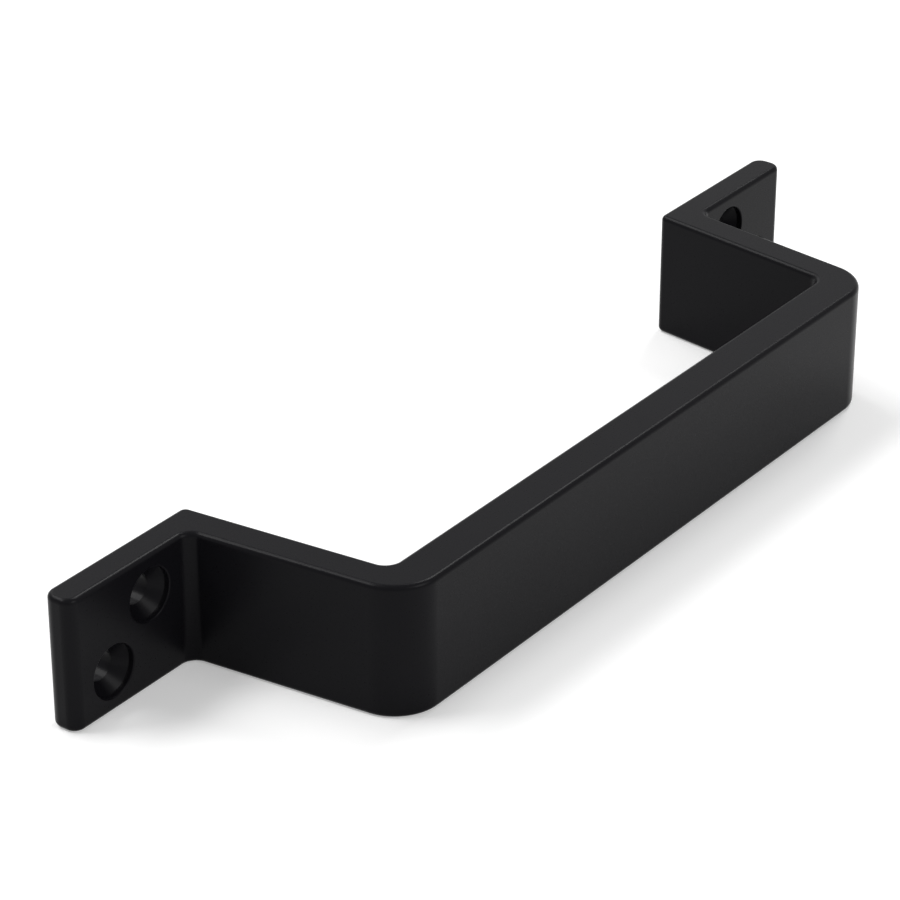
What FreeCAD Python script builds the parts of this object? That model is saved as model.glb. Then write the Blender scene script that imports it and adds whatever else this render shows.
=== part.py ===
import FreeCAD, Part
import os
from math import radians

import Sketcher

# A furniture handle made in one piece from a thick flat bar: two mounting flanges, two legs that lean
# inwards, and a straight grip bar that joins them. Every edge is softly rounded. Each flange takes two
# sunk countersunk screws, set on a diagonal so that they clear each other across the bar.
#
# Frame: X runs along the handle, and the door or drawer front is the plane Y = 0. The handle stands
# out towards -Y, and Z runs across the bar, with Z = 0 halfway across it. Left is towards -X.

NODE = "handle"

# Sizes, in millimetres and degrees. The outline's lengths run to its corners before they are rounded.
SIZES = {
    "overall_length": 170.0,
    "bar_width": 20.0,
    "projection": 38.2,
    "flange_length": 23.2,
    "flange_thickness": 4.8,
    "leg_thickness": 5.4,
    "grip_thickness": 6.6,
    "leg_lean": 7.1,
    "grip_outer_radius": 7.0,
    "grip_inner_radius": 2.2,
    "flange_root_radius": 1.5,
    "leg_heel_radius": 1.2,
    "tip_front_radius": 1.8,
    "tip_back_radius": 1.2,
    "edge_rounding": 0.8,
    "screw_bore_diameter": 4.5,
    "screw_head_diameter": 7.8,
    "screw_head_recess": 0.9,
    "countersink_angle": 90.0,
    "rim_rounding": 0.2,
    "outer_screw_from_tip": 7.8,
    "inner_screw_from_tip": 15.4,
    "screw_stagger": 4.0,
}

# The outline's corners, in order round the bar.
OUTLINE = [
    "tip_back_left", "heel_left", "grip_inside_left",
    "grip_inside_right", "heel_right", "tip_back_right",
    "tip_front_right", "root_right", "grip_outside_right",
    "grip_outside_left", "root_left", "tip_front_left",
]

# The outline's straight dimensions, each between two of its corners.
SPANS = [
    ("overall_length", "DistanceX", "tip_back_left", "tip_back_right"),
    ("flange_length", "DistanceX", "tip_front_left", "root_left"),
    ("flange_thickness", "DistanceY", "tip_front_left", "tip_back_left"),
    ("grip_thickness", "DistanceY", "grip_outside_left", "grip_inside_left"),
]

# The size that rounds each pair of corners.
RADII = {
    "grip_outside": "grip_outer_radius",
    "grip_inside": "grip_inner_radius",
    "root": "flange_root_radius",
    "heel": "leg_heel_radius",
    "tip_front": "tip_front_radius",
    "tip_back": "tip_back_radius",
}

# The screws of a flange, and the side of the bar's middle line that each one is on.
SCREWS = {"outer_screw": -1, "inner_screw": 1}

# Measures closer than this, in millimetres or cubic millimetres, are the same.
SAME = 1e-4

# The points of a line or circle that a constraint can hold, and a sketch's own axes.
START, END, CENTRE = range(1, 4)
LEVEL_AXIS, UPRIGHT_AXIS = range(-1, -3, -1)
ORIGIN = (LEVEL_AXIS, START)


def make_sheet(doc):
    """The driving sizes, one named cell each."""
    sheet = doc.addObject("Spreadsheet::Sheet", "sizes")
    for row, (name, value) in enumerate(SIZES.items(), start=1):
        sheet.set(f"A{row}", name)
        sheet.set(f"B{row}", str(value))
        sheet.setAlias(f"B{row}", name)
    doc.recompute()
    return sheet


def origin_plane(body, role):
    """One of the body's own origin planes."""
    return next(plane for plane in body.Origin.OriginFeatures if plane.Role == role)


def new_sketch(body, name, role):
    """An empty sketch laid flat on one of the body's origin planes."""
    sketch = body.newObject("Sketcher::SketchObject", name)
    sketch.AttachmentSupport = [(origin_plane(body, role), "")]
    sketch.MapMode = "FlatFace"
    return sketch


def dimension(sketch, name, kind, ends, value, expression):
    """Adds a named dimension to a sketch and ties it to the sheet."""
    index = sketch.addConstraint(Sketcher.Constraint(kind, *ends, float(value)))
    sketch.renameConstraint(index, name)
    sketch.setExpression(f"Constraints.{name}", expression)


def upright_places(sheet):
    """Where the right half's corners lie before the sketch leans the legs."""
    tip = sheet.overall_length / 2
    root = tip - sheet.flange_length
    heel = root - sheet.leg_thickness
    return {
        "tip_back": (tip, 0),
        "heel": (heel, 0),
        "grip_inside": (heel, sheet.grip_thickness - sheet.projection),
        "grip_outside": (root, -sheet.projection),
        "root": (root, -sheet.flange_thickness),
        "tip_front": (tip, -sheet.flange_thickness),
    }


def draw_lines(sketch, sheet):
    """Draws the outline's lines and returns them, each under the name of the corner it starts from."""
    places = upright_places(sheet)
    points = []
    for name in OUTLINE:
        kind, side = name.rsplit("_", 1)
        x, y = places[kind]
        points.append(FreeCAD.Vector(-x if side == "left" else x, y, 0))
    line = {}
    for name, start, end in zip(OUTLINE, points, points[1:] + points[:1]):
        line[name] = sketch.addGeometry(Part.LineSegment(start, end))
    return line


def draw_outline(body, sheet):
    """The plan of the bent bar, with sharp corners: flanges, leaning legs and grip."""
    sketch = new_sketch(body, "outline", "XY_Plane")
    line = draw_lines(sketch, sheet)
    corner = {name: (line[name], START) for name in OUTLINE}
    leg_front = line["grip_outside_left"]

    relations = [("Coincident", line[name], END, *corner[following])
                 for name, following in zip(OUTLINE, OUTLINE[1:] + OUTLINE[:1])]
    relations += [("Symmetric", *corner[f"{kind}_left"], *corner[f"{kind}_right"], UPRIGHT_AXIS)
                  for kind in RADII]
    relations += [
        ("Horizontal", line["tip_back_left"]),
        ("Horizontal", line["root_left"]),
        ("Vertical", line["tip_front_left"]),
        ("Parallel", line["heel_left"], leg_front),
        ("PointOnObject", *corner["tip_back_left"], LEVEL_AXIS),
    ]
    for relation in relations:
        sketch.addConstraint(Sketcher.Constraint(*relation))

    for name, kind, start, end in SPANS:
        ends = corner[start] + corner[end]
        dimension(sketch, name, kind, ends, getattr(sheet, name), f"sizes.{name}")
    dimension(sketch, "projection", "DistanceY", corner["grip_outside_left"] + ORIGIN,
              sheet.projection, "sizes.projection")
    dimension(sketch, "leg_thickness", "Distance", (*corner["heel_left"], leg_front),
              sheet.leg_thickness, "sizes.leg_thickness")
    dimension(sketch, "leg_slope", "Angle", (leg_front,),
              radians(90 + sheet.leg_lean), "90 deg + sizes.leg_lean * 1 deg")
    return sketch, corner


def pad_bar(body, sketch):
    """The bar, as wide on one side of the sketch as on the other."""
    pad = body.newObject("PartDesign::Pad", "bent_bar")
    pad.Profile = sketch
    pad.SideType = "Symmetric"
    pad.setExpression("Length", "sizes.bar_width")
    body.Document.recompute()
    return pad


def round_edges(body, base, name, test, expression):
    """A fillet on those edges of the base feature that pass a test."""
    names = [f"Edge{i}" for i, edge in enumerate(base.Shape.Edges, start=1) if test(edge)]
    fillet = body.newObject("PartDesign::Fillet", name)
    fillet.Base = (base, names)
    fillet.setExpression("Radius", expression)
    body.Document.recompute()
    return fillet


def rises_from(points):
    """A test for the edges that run across the bar from given corners of the outline."""
    def test(edge):
        box = edge.BoundBox
        if box.XLength + box.YLength > SAME:
            return False
        return any(abs(box.Center.x - p.x) + abs(box.Center.y - p.y) < SAME for p in points)
    return test


def lies_on_side(sheet):
    """A test for the outline's edges on the bar's two flat sides."""
    half = sheet.bar_width / 2

    def test(edge):
        box = edge.BoundBox
        return box.ZLength < SAME and abs(abs(box.ZMin) - half) < SAME
    return test


def is_screw_rim(sheet):
    """A test for the round rims of the screw holes on the front of the flanges."""
    head_radius = sheet.screw_head_diameter / 2

    def test(edge):
        box = edge.BoundBox
        on_front = box.YLength < SAME and abs(box.YMin + sheet.flange_thickness) < SAME
        is_circle = isinstance(edge.Curve, Part.Circle)
        return on_front and is_circle and abs(edge.Curve.Radius - head_radius) < SAME
    return test


def round_bends(body, base, sketch, corner):
    """The radii of the plan: bends inside and outside, and the flange tips."""
    for kind, size in RADII.items():
        points = [sketch.getPoint(*corner[f"{kind}_{side}"]) for side in ("left", "right")]
        base = round_edges(body, base, f"{kind}_radius", rises_from(points), f"sizes.{size}")
    return base


def must_cut(before, after):
    """Stops if a feature that should cut has taken nothing away."""
    if after.Shape.Volume > before.Shape.Volume - SAME:
        raise RuntimeError(f"{after.Name} cuts nothing")


def place_screws(body, sheet):
    """The circles of the left flange's screw bores, seen from the front."""
    sketch = new_sketch(body, "screw_bores", "XZ_Plane")
    sketch.setExpression("AttachmentOffset.Base.z", "sizes.flange_thickness")
    bore = sheet.screw_bore_diameter
    for name, side in SCREWS.items():
        along = sheet.overall_length / 2 - getattr(sheet, f"{name}_from_tip")
        middle = FreeCAD.Vector(-along, side * sheet.screw_stagger, 0)
        circle = sketch.addGeometry(Part.Circle(middle, FreeCAD.Vector(0, 0, 1), bore / 2))
        centre = (circle, CENTRE)
        upwards = centre + ORIGIN if side < 0 else ORIGIN + centre
        dimension(sketch, f"{name}_place", "DistanceX", centre + ORIGIN,
                  along, f"sizes.overall_length / 2 - sizes.{name}_from_tip")
        dimension(sketch, f"{name}_stagger", "DistanceY", upwards,
                  sheet.screw_stagger, "sizes.screw_stagger")
        dimension(sketch, f"{name}_bore", "Diameter", (circle,), bore, "sizes.screw_bore_diameter")
    body.Document.recompute()
    return sketch


def drill_screws(body, base, sheet):
    """Two sunk countersunk screw holes in each flange, on a diagonal."""
    hole = body.newObject("PartDesign::Hole", "screw_holes")
    hole.Profile = place_screws(body, sheet)
    hole.ThreadType = "None"
    hole.DepthType = "ThroughAll"
    hole.HoleCutType = "Counterdrill"
    hole.HoleCutCustomValues = True
    hole.setExpression("Diameter", "sizes.screw_bore_diameter")
    hole.setExpression("HoleCutDiameter", "sizes.screw_head_diameter")
    hole.setExpression("HoleCutDepth", "sizes.screw_head_recess")
    hole.setExpression("HoleCutCountersinkAngle", "sizes.countersink_angle")
    body.Document.recompute()
    must_cut(base, hole)

    both = body.newObject("PartDesign::Mirrored", "screw_holes_both_flanges")
    both.Originals = [hole]
    both.MirrorPlane = (origin_plane(body, "YZ_Plane"), [""])
    body.Tip = both
    body.Document.recompute()
    must_cut(hole, both)
    return both


def make_handle(doc, sheet):
    """The whole handle as one body."""
    body = doc.addObject("PartDesign::Body", NODE)
    body.Label = NODE
    doc.recompute()
    outline, corner = draw_outline(body, sheet)
    bar = pad_bar(body, outline)
    bends = round_bends(body, bar, outline, corner)
    drilled = drill_screws(body, bends, sheet)
    sides = round_edges(body, drilled, "edge_rounding", lies_on_side(sheet), "sizes.edge_rounding")
    body.Tip = round_edges(body, sides, "rim_rounding", is_screw_rim(sheet), "sizes.rim_rounding")
    doc.recompute()
    return body


def check(doc, body):
    """Stops before anything is written if a feature failed or the solid is not sound."""
    for item in doc.Objects:
        if "Invalid" in item.State or "Error" in item.State:
            raise RuntimeError(f"{item.Name} failed: {item.State}")
    if body.Shape.isNull() or not body.Shape.isValid() or len(body.Shape.Solids) != 1:
        raise RuntimeError(f"{body.Label} is not one sound solid")


def main():
    """Builds the handle, checks it and writes its file."""
    doc = FreeCAD.newDocument("furniture_handle")
    sheet = make_sheet(doc)
    body = make_handle(doc, sheet)
    check(doc, body)
    os.makedirs("parts", exist_ok=True)
    body.Shape.exportStep(f"parts/{body.Label}.step")
    box = body.Shape.optimalBoundingBox(False, False)
    print(f"{body.Label}: {body.Shape.Volume:.1f} cubic mm, "
          f"{box.XLength:.2f} x {box.YLength:.2f} x {box.ZLength:.2f} mm")


main()
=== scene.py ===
"""A black furniture handle in a plain, pale studio.

The handle is one piece of thick flat bar: a mounting flange at each end, with two sunk countersunk screw
holes on a diagonal, a leg that leans inwards from each flange, and a straight grip between the legs. It
is modelled here with smooth bends and rounded edges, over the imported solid, and coated in matt black.

Frame, in metres: X runs along the handle, the door or drawer front is the plane Y = 0, the grip stands
out towards -Y, and Z runs across the bar. Shapes are drawn in millimetres and made metres at the end.
"""

import logging
from dataclasses import dataclass
from enum import Enum
from math import ceil, cos, pi, radians, sin, tan
from typing import Union

import bmesh
import bpy
from mathutils import Matrix, Vector


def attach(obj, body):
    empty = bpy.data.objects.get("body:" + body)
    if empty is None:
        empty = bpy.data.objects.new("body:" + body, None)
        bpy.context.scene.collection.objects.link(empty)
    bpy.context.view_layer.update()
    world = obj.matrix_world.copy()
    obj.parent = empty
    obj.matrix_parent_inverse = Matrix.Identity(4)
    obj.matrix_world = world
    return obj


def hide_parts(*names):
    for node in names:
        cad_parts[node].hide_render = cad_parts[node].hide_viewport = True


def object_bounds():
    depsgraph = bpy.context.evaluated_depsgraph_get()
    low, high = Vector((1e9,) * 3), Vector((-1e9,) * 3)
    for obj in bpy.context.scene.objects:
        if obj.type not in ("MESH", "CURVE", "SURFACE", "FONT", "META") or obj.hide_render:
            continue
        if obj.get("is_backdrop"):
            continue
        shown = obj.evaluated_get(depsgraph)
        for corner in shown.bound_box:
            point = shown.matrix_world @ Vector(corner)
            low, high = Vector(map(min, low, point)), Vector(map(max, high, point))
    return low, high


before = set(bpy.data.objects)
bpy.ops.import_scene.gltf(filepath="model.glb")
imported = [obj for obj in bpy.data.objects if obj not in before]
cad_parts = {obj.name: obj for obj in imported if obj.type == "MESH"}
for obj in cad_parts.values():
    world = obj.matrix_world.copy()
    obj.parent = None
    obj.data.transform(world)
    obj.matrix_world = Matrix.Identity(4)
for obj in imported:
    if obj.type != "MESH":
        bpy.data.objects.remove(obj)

LOG = logging.getLogger("furniture_handle")
MM = 0.001
MIX_COLOURS = (6, 7)
MIX_RESULT = 2
NOISE_MIDDLE = 0.5


class Side(Enum):
    """An end of the handle, and the sign of X there."""

    LEFT = -1
    RIGHT = 1


class Level(Enum):
    """A screw hole's side of the bar's middle line, and the sign of Z there."""

    LOWER = -1
    UPPER = 1


# Node trees

Number = Union[float, "Term"]


class Term:
    """A socket's value in a shader, which takes part in sums as a number does."""

    def __init__(self, graph: "Graph", socket: bpy.types.NodeSocket) -> None:
        """Wraps an output socket of one of the graph's nodes."""
        self.graph = graph
        self.socket = socket

    def _maths(self, operation: str, first: Number, second: Number) -> "Term":
        """Adds one Math node.

        Args:
            operation: The Math node's operation.
            first: Its first value.
            second: Its second value.

        Returns:
            The node's result.
        """
        return self.graph.term("ShaderNodeMath", {"operation": operation}, {0: first, 1: second})

    def __add__(self, other: Number) -> "Term":
        """This value plus another."""
        return self._maths("ADD", self, other)

    def __sub__(self, other: Number) -> "Term":
        """This value less another."""
        return self._maths("SUBTRACT", self, other)

    def __rsub__(self, other: Number) -> "Term":
        """Another value less this one."""
        return self._maths("SUBTRACT", other, self)

    def __mul__(self, other: Number) -> "Term":
        """This value times another."""
        return self._maths("MULTIPLY", self, other)

    __radd__ = __add__
    __rmul__ = __mul__

    def larger(self, other: Number) -> "Term":
        """The larger of this value and another."""
        return self._maths("MAXIMUM", self, other)


class Graph:
    """The node tree of a material or of the world."""

    def __init__(self, owner: Union[bpy.types.Material, bpy.types.World]) -> None:
        """Starts an empty tree on a material or world."""
        owner.use_nodes = True
        self.tree = owner.node_tree
        self.tree.nodes.clear()

    def node(self, kind: str, settings: dict[str, object],
             inputs: dict[Union[str, int], object]) -> bpy.types.Node:
        """Adds a node of any type.

        Args:
            kind: The node's type.
            settings: Its own properties, which are set first.
            inputs: Numbers, colours or terms for its sockets, by name or index.

        Returns:
            The node.
        """
        made = self.tree.nodes.new(kind)
        for name, value in settings.items():
            setattr(made, name, value)
        for key, value in inputs.items():
            if isinstance(value, Term):
                self.tree.links.new(value.socket, made.inputs[key])
            else:
                made.inputs[key].default_value = value
        return made

    def term(self, kind: str, settings: dict[str, object], inputs: dict[Union[str, int], object],
             output: Union[str, int] = 0) -> Term:
        """Adds a node, as node() does, for the sake of one of its outputs.

        Args:
            kind: The node's type.
            settings: Its own properties, which are set first.
            inputs: Numbers, colours or terms for its sockets, by name or index.
            output: The output's name or index.

        Returns:
            A term on that output.
        """
        return Term(self, self.node(kind, settings, inputs).outputs[output])

    def blend(self, factor: Number, first: object, second: object) -> Term:
        """Mixes two colours.

        Args:
            factor: How much of the second colour there is, from 0 to 1.
            first: The colour at 0.
            second: The colour at 1.

        Returns:
            The mixed colour.
        """
        first_socket, second_socket = MIX_COLOURS
        return self.term("ShaderNodeMix", {"data_type": "RGBA"},
                         {"Factor": factor, first_socket: first, second_socket: second}, MIX_RESULT)

    def seen_directly(self) -> Term:
        """1 for rays that show a thing as the eye sees it, also in gloss and through glass."""
        rays = self.node("ShaderNodeLightPath", {}, {}).outputs
        camera, glossy, through = (
            Term(self, rays[name]) for name in ("Is Camera Ray", "Is Glossy Ray", "Is Transmission Ray"))
        return camera.larger(glossy).larger(through)


# Finishes

@dataclass(frozen=True)
class BlackCoat:
    """Matt black powder coat: a dead black skin with a very fine orange peel.

    It is clouded a little from black to a paler black, rippled by the peel, and speckled by a grain that
    also varies its roughness. Scales are in waves over a metre, heights in metres.
    """

    deep: tuple[float, float, float, float] = (0.0046, 0.0044, 0.0056, 1.0)
    pale: tuple[float, float, float, float] = (0.0066, 0.0064, 0.0078, 1.0)
    roughness: float = 0.29
    roughness_spread: float = 0.08
    gloss_level: float = 0.064
    cloud_scale: float = 60.0
    cloud_detail: float = 3.0
    peel_scale: float = 900.0
    peel_detail: float = 2.0
    grain_scale: float = 4200.0
    grain_detail: float = 1.0
    peel_height: float = 0.000004
    grain_share: float = 0.35

    def build(self) -> bpy.types.Material:
        """The coat as a material."""
        material = bpy.data.materials.new("black_coat")
        graph = Graph(material)
        place = graph.term("ShaderNodeTexCoord", {}, {}, "Object")
        clouds = self._noise(graph, place, self.cloud_scale, self.cloud_detail)
        peel = self._noise(graph, place, self.peel_scale, self.peel_detail)
        grain = self._noise(graph, place, self.grain_scale, self.grain_detail)
        height = peel + grain * self.grain_share
        bump = graph.term("ShaderNodeBump", {}, {
            "Strength": 1.0, "Distance": self.peel_height, "Height": height}, "Normal")
        shader = graph.term("ShaderNodeBsdfPrincipled", {}, {
            "Base Color": graph.blend(clouds, self.deep, self.pale),
            "Roughness": self.roughness + (grain - NOISE_MIDDLE) * self.roughness_spread,
            "Specular IOR Level": self.gloss_level,
            "Normal": bump})
        graph.node("ShaderNodeOutputMaterial", {}, {"Surface": shader})
        return material

    def _noise(self, graph: Graph, place: Term, scale: float, detail: float) -> Term:
        """Smooth random values from 0 to 1 over the handle."""
        return graph.term("ShaderNodeTexNoise", {}, {"Vector": place, "Scale": scale, "Detail": detail})


@dataclass(frozen=True)
class PaleFloor:
    """A plain white sweep of paper that fades into the background but keeps a soft shadow."""

    colour: tuple[float, float, float, float] = (0.80, 0.80, 0.80, 1.0)
    lift: float = 0.30

    def build(self) -> bpy.types.Material:
        """The paper as a material."""
        material = bpy.data.materials.new("pale_floor")
        graph = Graph(material)
        paper = graph.term("ShaderNodeBsdfDiffuse", {}, {"Color": self.colour})
        glow = graph.term("ShaderNodeEmission", {}, {"Strength": graph.seen_directly() * self.lift})
        both = graph.term("ShaderNodeAddShader", {}, {0: paper, 1: glow})
        graph.node("ShaderNodeOutputMaterial", {}, {"Surface": both})
        return material


# The handle

@dataclass(frozen=True)
class Corner:
    """A corner of the bar's plan, in millimetres, and the radius that rounds it."""

    x: float
    y: float
    radius: float


@dataclass(frozen=True)
class ScrewHole:
    """A through bore with a 90 degree countersink and a shallow recess over the screw's head."""

    x: float
    z: float
    front: float
    bore_radius: float = 2.25
    head_radius: float = 3.9
    recess: float = 0.9
    countersink: float = radians(90.0)
    steps: int = 72
    spare: float = 2.0

    def cut_into(self, tool: bmesh.types.BMesh) -> None:
        """Adds the hole's own space to a cutting mesh, with some to spare past both faces."""
        cone = (self.head_radius - self.bore_radius) / tan(self.countersink / 2)
        stops = [
            (0.0, -self.spare),
            (self.head_radius, -self.spare),
            (self.head_radius, self.recess),
            (self.bore_radius, self.recess + cone),
            (self.bore_radius, self.spare - self.front),
            (0.0, self.spare - self.front),
        ]
        verts = [tool.verts.new((self.x + out, self.front + depth, self.z)) for out, depth in stops]
        edges = [tool.edges.new(pair) for pair in zip(verts, verts[1:])]
        bmesh.ops.spin(tool, geom=verts + edges, cent=(self.x, 0.0, self.z), axis=(0.0, 1.0, 0.0),
                       angle=2 * pi, steps=self.steps, use_merge=True)

    def is_rim(self, edge: bmesh.types.BMEdge, slack: float = 0.01) -> bool:
        """Whether an edge is part of the round rim on the flange's front."""
        return all(
            abs(vert.co.y - self.front) < slack
            and abs(Vector((vert.co.x - self.x, vert.co.z - self.z)).length - self.head_radius) < slack
            for vert in edge.verts)


@dataclass(frozen=True)
class HandleBar:
    """The bent flat bar, in millimetres, with its bends, rounded edges and screw holes.

    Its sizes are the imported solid's, but the flange roots and the backs of the tips are rounder here by
    less than a millimetre.
    """

    length: float
    projection: float
    width: float
    flange_length: float = 23.2
    flange_thickness: float = 4.8
    leg_thickness: float = 5.4
    grip_thickness: float = 6.6
    leg_lean: float = radians(7.1)
    grip_outer_radius: float = 7.0
    grip_inner_radius: float = 2.2
    flange_root_radius: float = 2.0
    leg_heel_radius: float = 1.2
    tip_front_radius: float = 1.8
    tip_back_radius: float = 2.0
    edge_rounding: float = 0.8
    rim_rounding: float = 0.2
    outer_screw_from_tip: float = 7.8
    inner_screw_from_tip: float = 15.4
    screw_stagger: float = 4.0
    arc_step: float = radians(5.0)
    edge_segments: int = 8
    rim_segments: int = 4
    sharp_from: float = radians(30.0)
    weld: float = 0.001

    def build(self, name: str, finish: bpy.types.Material) -> bpy.types.Object:
        """Models the whole handle.

        Args:
            name: The object's name.
            finish: The material of its coat.

        Returns:
            The finished object, at the origin, with its place in its mesh.
        """
        shape = bmesh.new()
        self._draw_plan(shape)
        self._widen(shape)
        self._round_sides(shape)
        handle = self._to_object(name, shape)
        self._drill(handle)
        self._round_rims(handle)
        handle.data.materials.clear()
        handle.data.materials.append(finish)
        weighted = handle.modifiers.new("even_normals", "WEIGHTED_NORMAL")
        weighted.keep_sharp = True
        return handle

    def leg_outside(self, y: float) -> float:
        """How far the leg's outer face stands from the handle's middle, at a depth y."""
        root = self.length / 2 - self.flange_length
        return root + (y + self.flange_thickness) * tan(self.leg_lean)

    def leg_inside(self, y: float) -> float:
        """How far the leg's inner face stands from the handle's middle, at a depth y."""
        return self.leg_outside(y) - self.leg_thickness / cos(self.leg_lean)

    def right_half(self) -> list[Corner]:
        """The corners of the plan's right half, out along the back from the grip and in along the front."""
        tip = self.length / 2
        grip_back = self.grip_thickness - self.projection
        return [
            Corner(self.leg_inside(grip_back), grip_back, self.grip_inner_radius),
            Corner(self.leg_inside(0.0), 0.0, self.leg_heel_radius),
            Corner(tip, 0.0, self.tip_back_radius),
            Corner(tip, -self.flange_thickness, self.tip_front_radius),
            Corner(self.leg_outside(-self.flange_thickness), -self.flange_thickness,
                   self.flange_root_radius),
            Corner(self.leg_outside(-self.projection), -self.projection, self.grip_outer_radius),
        ]

    def screw_holes(self) -> list[ScrewHole]:
        """The handle's four screw holes: on each flange the outer one is the lower one."""
        holes = []
        for side in Side:
            for level, from_tip in ((Level.LOWER, self.outer_screw_from_tip),
                                    (Level.UPPER, self.inner_screw_from_tip)):
                along = side.value * (self.length / 2 - from_tip)
                holes.append(ScrewHole(along, level.value * self.screw_stagger, -self.flange_thickness))
        return holes

    def _draw_plan(self, shape: bmesh.types.BMesh) -> None:
        """Draws the plan as one face on the bar's lower side, and rounds its corners."""
        right = self.right_half()
        left = [Corner(-corner.x, corner.y, corner.radius) for corner in reversed(right)]
        corners = right + left
        verts = [shape.verts.new((corner.x, corner.y, -self.width / 2)) for corner in corners]
        shape.faces.new(verts)
        for vert, corner in zip(verts, corners):
            ends = [edge.other_vert(vert).co - vert.co for edge in vert.link_edges]
            inside = ends[0].angle(ends[1])
            bmesh.ops.bevel(shape, geom=[vert], offset=corner.radius / tan(inside / 2),
                            offset_type="OFFSET", segments=ceil((pi - inside) / self.arc_step),
                            profile=0.5, affect="VERTICES", material=-1)

    def _widen(self, shape: bmesh.types.BMesh) -> None:
        """Draws the plan out across the bar."""
        drawn = bmesh.ops.extrude_face_region(shape, geom=shape.faces[:])
        top = [item for item in drawn["geom"] if isinstance(item, bmesh.types.BMVert)]
        bmesh.ops.translate(shape, verts=top, vec=(0.0, 0.0, self.width))
        bmesh.ops.recalc_face_normals(shape, faces=shape.faces[:])

    def _round_sides(self, shape: bmesh.types.BMesh) -> None:
        """Rounds all the edges along the bar's two flat sides."""
        edges = [edge for edge in shape.edges if edge.verts[0].co.z == edge.verts[1].co.z]
        bmesh.ops.bevel(shape, geom=edges, offset=self.edge_rounding, offset_type="OFFSET",
                        segments=self.edge_segments, profile=0.5, affect="EDGES",
                        clamp_overlap=False, loop_slide=True, material=-1)

    def _drill(self, handle: bpy.types.Object) -> None:
        """Cuts the screw holes out of the bar."""
        tool = bmesh.new()
        for hole in self.screw_holes():
            hole.cut_into(tool)
        bmesh.ops.remove_doubles(tool, verts=tool.verts[:], dist=self.weld)
        bmesh.ops.recalc_face_normals(tool, faces=tool.faces[:])
        cutter = self._to_object("screw_hole_cutter", tool)
        cut = handle.modifiers.new("screw_holes", "BOOLEAN")
        cut.operation = "DIFFERENCE"
        cut.solver = "EXACT"
        cut.object = cutter
        graph = bpy.context.evaluated_depsgraph_get()
        drilled = bpy.data.meshes.new_from_object(handle.evaluated_get(graph))
        handle.modifiers.clear()
        handle.data = drilled
        bpy.data.objects.remove(cutter)

    def _round_rims(self, handle: bpy.types.Object) -> None:
        """Softens the rims of the screw holes, and marks the edges that stay sharp."""
        holes = self.screw_holes()
        shape = bmesh.new()
        shape.from_mesh(handle.data)
        bmesh.ops.scale(shape, vec=(1 / MM,) * 3, verts=shape.verts[:])
        rims = [edge for edge in shape.edges if any(hole.is_rim(edge) for hole in holes)]
        bmesh.ops.bevel(shape, geom=rims, offset=self.rim_rounding, offset_type="OFFSET",
                        segments=self.rim_segments, profile=0.5, affect="EDGES",
                        clamp_overlap=False, loop_slide=True, material=-1)
        for face in shape.faces:
            face.smooth = True
        for edge in shape.edges:
            edge.smooth = edge.calc_face_angle(0.0) < self.sharp_from
        bmesh.ops.scale(shape, vec=(MM,) * 3, verts=shape.verts[:])
        shape.to_mesh(handle.data)
        shape.free()

    def _to_object(self, name: str, shape: bmesh.types.BMesh) -> bpy.types.Object:
        """Makes an object of a mesh drawn in millimetres.

        Args:
            name: The object's name, and its mesh's.
            shape: The mesh, which is freed.

        Returns:
            The object, linked to the scene.
        """
        bmesh.ops.scale(shape, vec=(MM,) * 3, verts=shape.verts[:])
        mesh = bpy.data.meshes.new(name)
        shape.to_mesh(mesh)
        shape.free()
        made = bpy.data.objects.new(name, mesh)
        bpy.context.scene.collection.objects.link(made)
        return made


# The studio

def heading(azimuth: float, elevation: float) -> Vector:
    """The way from the handle to a lamp or camera.

    Args:
        azimuth: Its angle round the handle, 0 in front of it and a quarter turn towards +X.
        elevation: Its angle above the floor.

    Returns:
        A vector of length 1.
    """
    return Vector((sin(azimuth) * cos(elevation), -cos(azimuth) * cos(elevation), sin(elevation)))


@dataclass(frozen=True)
class Lamp:
    """A soft, far lamp, given by where it stands and how wide it looks from the handle."""

    name: str
    azimuth: float
    elevation: float
    strength: float
    width: float

    def build(self) -> bpy.types.Object:
        """The lamp, aimed at the handle."""
        light = bpy.data.lights.new(self.name, "SUN")
        light.energy = self.strength
        light.angle = self.width
        lamp = bpy.data.objects.new(self.name, light)
        towards = heading(self.azimuth, self.elevation)
        lamp.rotation_mode = "QUATERNION"
        lamp.rotation_quaternion = (-towards).to_track_quat("-Z", "Y")
        bpy.context.scene.collection.objects.link(lamp)
        return lamp


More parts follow.
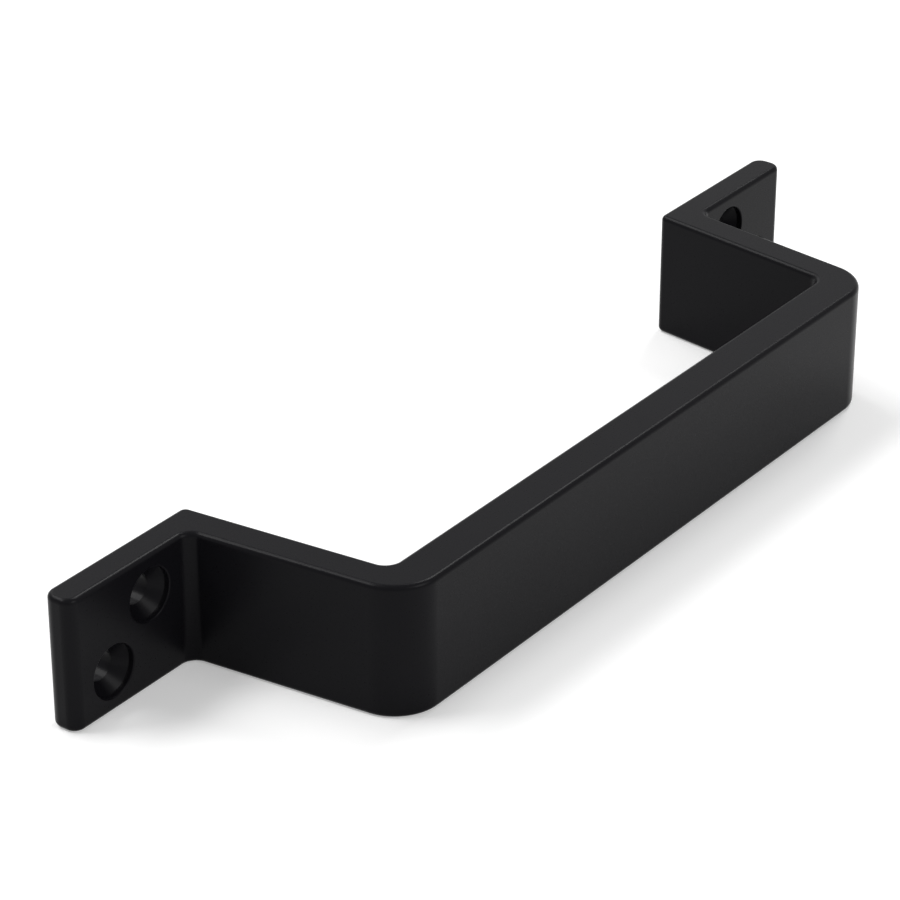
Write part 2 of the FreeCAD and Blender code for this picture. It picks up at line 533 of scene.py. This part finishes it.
@dataclass(frozen=True)
class Studio:
    """A pale floor, a white surround that lights softly, and the lamps."""

    floor_half: float = 3.0
    floor_squares: int = 8
    surround_light: float = 0.35
    floor: PaleFloor = PaleFloor()
    lamps: tuple[Lamp, ...] = (
        Lamp("key", radians(98.0), radians(51.0), 1.00, radians(19.0)),
        Lamp("back", radians(178.0), radians(52.0), 1.10, radians(28.0)),
        Lamp("front", radians(5.0), radians(36.0), 0.80, radians(28.0)),
        Lamp("fill", radians(-146.0), radians(56.0), 0.95, radians(19.0)),
        Lamp("rim", radians(152.0), radians(30.0), 0.20, radians(30.0)),
    )

    def build(self, level: float) -> None:
        """Sets up the studio.

        Args:
            level: The height of the floor.
        """
        self._lay_floor(level)
        self._surround()
        for lamp in self.lamps:
            lamp.build()
            LOG.info("lamp %s: strength %.2f", lamp.name, lamp.strength)
        bpy.context.scene.view_settings.view_transform = "Standard"

    def _lay_floor(self, level: float) -> None:
        """Lays the floor under the handle."""
        shape = bmesh.new()
        bmesh.ops.create_grid(shape, x_segments=self.floor_squares, y_segments=self.floor_squares,
                              size=self.floor_half, matrix=Matrix.Translation((0.0, 0.0, level)))
        mesh = bpy.data.meshes.new("floor")
        shape.to_mesh(mesh)
        shape.free()
        mesh.materials.append(self.floor.build())
        floor = bpy.data.objects.new("floor", mesh)
        bpy.context.scene.collection.objects.link(floor)
        floor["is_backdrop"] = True
        LOG.info("floor: at %.1f mm", level / MM)

    def _surround(self) -> None:
        """Makes the world white where it is seen, and a soft light elsewhere."""
        world = bpy.data.worlds.new("surround")
        bpy.context.scene.world = world
        graph = Graph(world)
        seen = graph.seen_directly()
        strength = self.surround_light + seen * (1.0 - self.surround_light)
        glow = graph.term("ShaderNodeBackground", {}, {"Strength": strength})
        graph.node("ShaderNodeOutputWorld", {}, {"Surface": glow})


@dataclass(frozen=True)
class Viewpoint:
    """The camera's place: round the handle, above the floor, and away from the point it aims at."""

    azimuth: float = radians(-53.29)
    elevation: float = radians(28.71)
    distance: float = 0.50811
    aim: tuple[float, float, float] = (-0.00841, -0.00805, -0.00025)
    lens: float = 142.25
    nearest: float = 0.01
    farthest: float = 20.0

    def build(self) -> bpy.types.Object:
        """The camera, made the scene's own."""
        data = bpy.data.cameras.new("camera")
        data.lens = self.lens
        data.clip_start = self.nearest
        data.clip_end = self.farthest
        camera = bpy.data.objects.new("camera", data)
        back = heading(self.azimuth, self.elevation)
        camera.location = Vector(self.aim) + back * self.distance
        camera.rotation_mode = "QUATERNION"
        camera.rotation_quaternion = (-back).to_track_quat("-Z", "Y")
        bpy.context.scene.collection.objects.link(camera)
        bpy.context.scene.camera = camera
        LOG.info("camera: %.0f mm lens", self.lens)
        return camera


def corners(box: tuple[Vector, Vector]) -> list[list[float]]:
    """A box's lowest and highest corners as plain numbers."""
    return [list(corner) for corner in box]


def main() -> None:
    """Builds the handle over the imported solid, then the studio and the camera."""
    logging.basicConfig(level=logging.INFO, format="%(message)s")
    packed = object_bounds()
    low, high = packed
    size = (high - low) / MM
    bar = HandleBar(length=size.x, projection=size.y, width=size.z)
    handle = bar.build("coated_handle", BlackCoat().build())
    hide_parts("handle")
    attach(handle, "root")
    LOG.info("handle: %d faces, %s mm", len(handle.data.polygons), [round(v, 2) for v in size])

    Studio().build(level=low.z)
    Viewpoint().build()


if __name__ == "__main__":
    main()
